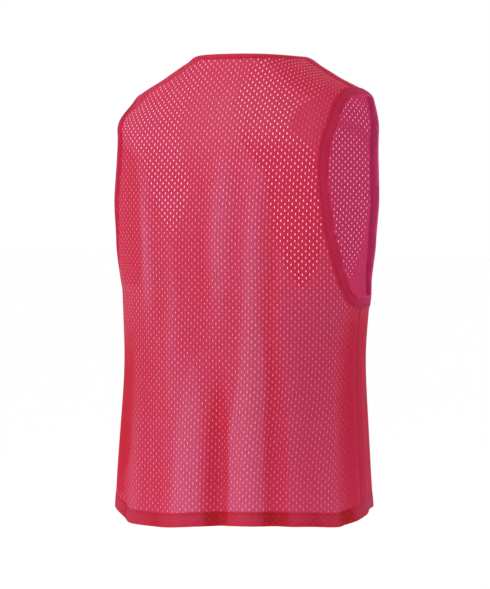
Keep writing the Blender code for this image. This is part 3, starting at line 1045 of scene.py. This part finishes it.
class BibLooks(bpy.types.PropertyGroup):
    """Colours and finish of the cloth."""

    light_red: tint("Light red", "The knit in full light", (0.48, 0.042, 0.078))
    pink_red: tint("Pink red", "The cooler patches of the knit", (0.47, 0.046, 0.096))
    # Painted highlight on the fold crests, the light stretches and the front's flanks
    highlight_red: tint("Ridge red", "The knit on the crests of its folds", (0.485, 0.088, 0.170))
    # Painted light below the nape
    nape_light_red: tint("Warm red", "The knit below the nape, flat to the light", (0.52, 0.086, 0.118))
    # Painted shade in the troughs and shaded places, and the knit's random darker blots
    shade_and_mottle_red: tint("Deep red", "The knit in the bottoms of its folds", (0.45, 0.020, 0.040))
    # Painted shade down the left side, along the right side seam and in the strips' troughs
    side_shade_red: tint("Side red", "The knit round the left side", (0.43, 0.010, 0.014))
    right_side_shade_red: tint("Right edge", "The cloth along the right side seam", (0.36, 0.014, 0.046))
    # Painted cool shade on the front and under the arms
    cool_shade_red: tint("Cool red", "The knit under the arms and on the front", (0.34, 0.044, 0.125))
    # Painted shade by the holes, and the dark colour of the stitches
    pillar_shade_and_stitch_red: tint("Pillar red", "Dark yarn by the holes and in stitches", (0.30, 0.008, 0.026))
    binding_edge: tint("Binding edge", "The stitched sides of the bindings", (0.58, 0.023, 0.056))
    binding_middle: tint("Binding middle", "The middle of the bindings", (0.51, 0.040, 0.108))
    # Painted cool shade on the bindings round the front
    cool_shade_binding: tint("Cool binding", "The bindings round the front", (0.60, 0.140, 0.420))
    sheer_binding: tint(
        "Sheer binding", "The light through the armhole bindings", (0.95, 0.30, 0.62)
    )
    neck_red: tint("Neck red", "The neck binding", (0.66, 0.037, 0.082))
    # Painted light in the holes and in the hems' dots; the dim one also colours the pale line by the
    # stitches
    dim_hole_light: tint("Dim hole", "The least light that fills a hole", (0.60, 0.088, 0.150))
    bright_hole_light: tint("Bright hole", "The most light that fills a hole", (0.95, 0.43, 0.54))
    clearing: amount("Clear holes", "How open the holes are in the clear patches", 1.0)
    sheer: amount("Sheer", "How much of the light passes through the yarn", 0.35)
    sheer_red: tint("Sheer red", "The light that passes through the yarn", (0.87, 0.055, 0.21))
    sheen: amount("Sheen", "How strongly the yarn shines at a glance", 0.02)


def sewn_strip(node, edge, half, held, closed, cool_shade_share=1.0, **look):
    """A folded strip with its look, which stands for a binding or a hem of the part."""
    face = half[0][0] * MM
    piece = strip(f"{node}_cloth", edge, folded(half), closed, cool_shade_share)
    piece.data.materials.append(strip_material(f"{node}_knit", face, **look))
    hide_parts(node)
    2 * face


class BIB_OT_panels(bpy.types.Operator):
    """Make the back and front panels of open mesh, with the seams between them"""

    bl_idname = "bib.panels"
    bl_label = "Panels"

    def execute(self, context):
        edges = edges_of_bib()
        for side, middle in MIDDLES.items():
            piece, width, height, area = open_mesh(f"{side}_panel_cloth", middle, edges)
            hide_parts(f"{side}_panel")
            seams = self.seams(context.scene.bib_looks) if side == "back" else []
            flat, area = (width, height), min(area, width * height)
        return {"FINISHED"}

    def seams(self, looks):
        """The narrow ridges of the side and shoulder seams."""
        made = []
        look = {"over": looks.light_red, "sheer": (0.55, looks.sheer_red), "sewn": 0.0}
        material = strip_material("seam_knit", SEAM_FACE, 0.002, 0.0, **look)
        for side, hand in (("left", 1), ("right", -1)):
            side_foot = eased(HEM_LINE, "drop", hand * SIDE) - SIDE_SEAM_END
            shoulder_foot = SHOULDER_DROP - SHOULDER_SEAM_END
            for kind, half, top, foot in (
                ("shoulder", SHOULDER_SEAM_HALF, SHOULDER_SEAM_TOP, shoulder_foot),
                ("side", SIDE_SEAM_HALF, UNDERARM + SIDE_SEAM_TOP, side_foot),
            ):
                edge = Edge(seam_line(hand, top, foot), 1, 0.0, 1.0)
                piece = strip(f"{side}_{kind}_seam", edge, ridged(half), False, FLAT_COOL_SHADE)
                piece.data.materials.append(material)
                made.append(piece)
        return made


class BIB_OT_bindings(bpy.types.Operator):
    """Make the neck binding and both armhole bindings"""

    bl_idname = "bib.bindings"
    bl_label = "Bindings"

    def execute(self, context):
        looks, sizes = context.scene.bib_looks, context.scene.bib_sizes
        neck, left, right, _ = edges_of_bib()
        look = {"stitch": sizes.neck_stitch, "middle_share": 0.3, "over": looks.neck_red}
        sewn_strip("neck_binding", neck, NECK_HALF, "stretched", True, **look)
        sheer = (0.6, looks.sheer_binding)
        look = {"stitch": sizes.armhole_stitch, "middle_share": 1.0, "sheer": sheer}
        for side, edge in (("left", left), ("right", right)):
            sewn_strip(f"{side}_armhole_binding", edge, ARMHOLE_HALF, "stretched", True, **look)
        return {"FINISHED"}


class BIB_OT_hems(bpy.types.Operator):
    """Make the turned-up hems"""

    bl_idname = "bib.hems"
    bl_label = "Hems"

    def execute(self, context):
        stitch = context.scene.bib_sizes.hem_stitch
        look = {"stitch": stitch, "middle_share": 0.5, "dots": 0.6, "sewn": 0.35}
        for side, start in (("back", 0.0), ("front", 1.0)):
            edge = Edge(hem_edge, -1, start + HEM_END, start + 1 - HEM_END)
            sewn_strip(f"{side}_hem", edge, HEM_HALF, "hung", False, FLAT_COOL_SHADE, **look)
        return {"FINISHED"}


class BIB_OT_stage(bpy.types.Operator):
    """Make the floor, the light and the camera"""

    bl_idname = "bib.stage"
    bl_label = "Stage"

    def execute(self, context):
        scene = context.scene
        self.floor()
        scene.view_settings.view_transform = "Standard"
        world = bpy.data.worlds.new("studio")
        world.use_nodes = True
        sky = world.node_tree.nodes["Background"].inputs
        sky["Color"].default_value = (1, 1, 1, 1)
        sky["Strength"].default_value = 1.0
        scene.world = world

        turn, tilt = math.radians(CAMERA_TURN), math.radians(CAMERA_RISE)
        target = Vector(LOOK_AT)
        away = Matrix.Rotation(turn, 3, "Z") @ Vector((0, math.cos(tilt), math.sin(tilt)))
        self.light(target)
        camera = bpy.data.objects.new("camera", bpy.data.cameras.new("camera"))
        camera.data.lens = CAMERA_LENS
        camera.location = target + CAMERA_DISTANCE * away
        camera.rotation_euler = (-away).to_track_quat("-Z", "Y").to_euler()
        scene.collection.objects.link(camera)
        scene.camera = camera
        return {"FINISHED"}

    def floor(self):
        """A wide pale floor, well below the bib."""
        shape = bmesh.new()
        bmesh.ops.create_grid(shape, x_segments=1, y_segments=1, size=FLOOR_REACH)
        bmesh.ops.translate(shape, vec=(0, 0, -FLOOR_DEPTH), verts=shape.verts)
        floor = linked(shape, "studio_floor")
        paper = {"Base Color": (0.995, 0.995, 0.995), "Roughness": 1.0}
        floor.data.materials.append(Shader("pale_floor").finish(paper))

    def light(self, target):
        """A round lamp, turned to the target."""
        data = bpy.data.lights.new("key", "AREA")
        data.shape = "DISK"
        data.size, data.energy, data.color = LAMP_SIZE, LAMP_POWER, LAMP_COLOUR
        lamp = bpy.data.objects.new("key", data)
        lamp.location = target + Vector(LAMP_PLACE)
        lamp.rotation_euler = (-Vector(LAMP_PLACE)).to_track_quat("-Z", "Y").to_euler()
        bpy.context.scene.collection.objects.link(lamp)


OPERATORS = (BIB_OT_panels, BIB_OT_bindings, BIB_OT_hems, BIB_OT_stage)


class BIB_PT_sidebar(bpy.types.Panel):
    """Lists the pieces of the bib"""

    bl_idname = "BIB_PT_sidebar"
    bl_label = "Training bib"
    bl_space_type = "VIEW_3D"
    bl_region_type = "UI"
    bl_category = "Bib"

    def draw(self, context):
        scene = context.scene
        for group in (scene.bib_sizes, scene.bib_looks):
            for name in type(group).__annotations__:
                self.layout.prop(group, name)
        for operator in OPERATORS:
            self.layout.operator(operator.bl_idname)


CLASSES = (BibSizes, BibLooks, *OPERATORS, BIB_PT_sidebar)


def register():
    for kind in CLASSES:
        bpy.utils.register_class(kind)
    bpy.types.Scene.bib_sizes = bpy.props.PointerProperty(type=BibSizes)
    bpy.types.Scene.bib_looks = bpy.props.PointerProperty(type=BibLooks)


def unregister():
    del bpy.types.Scene.bib_looks
    del bpy.types.Scene.bib_sizes
    for kind in reversed(CLASSES):
        bpy.utils.unregister_class(kind)


def main():
    register()
    bpy.ops.bib.panels()
    bpy.ops.bib.bindings()
    bpy.ops.bib.hems()
    bpy.ops.bib.stage()


if __name__ == "__main__":
    main()
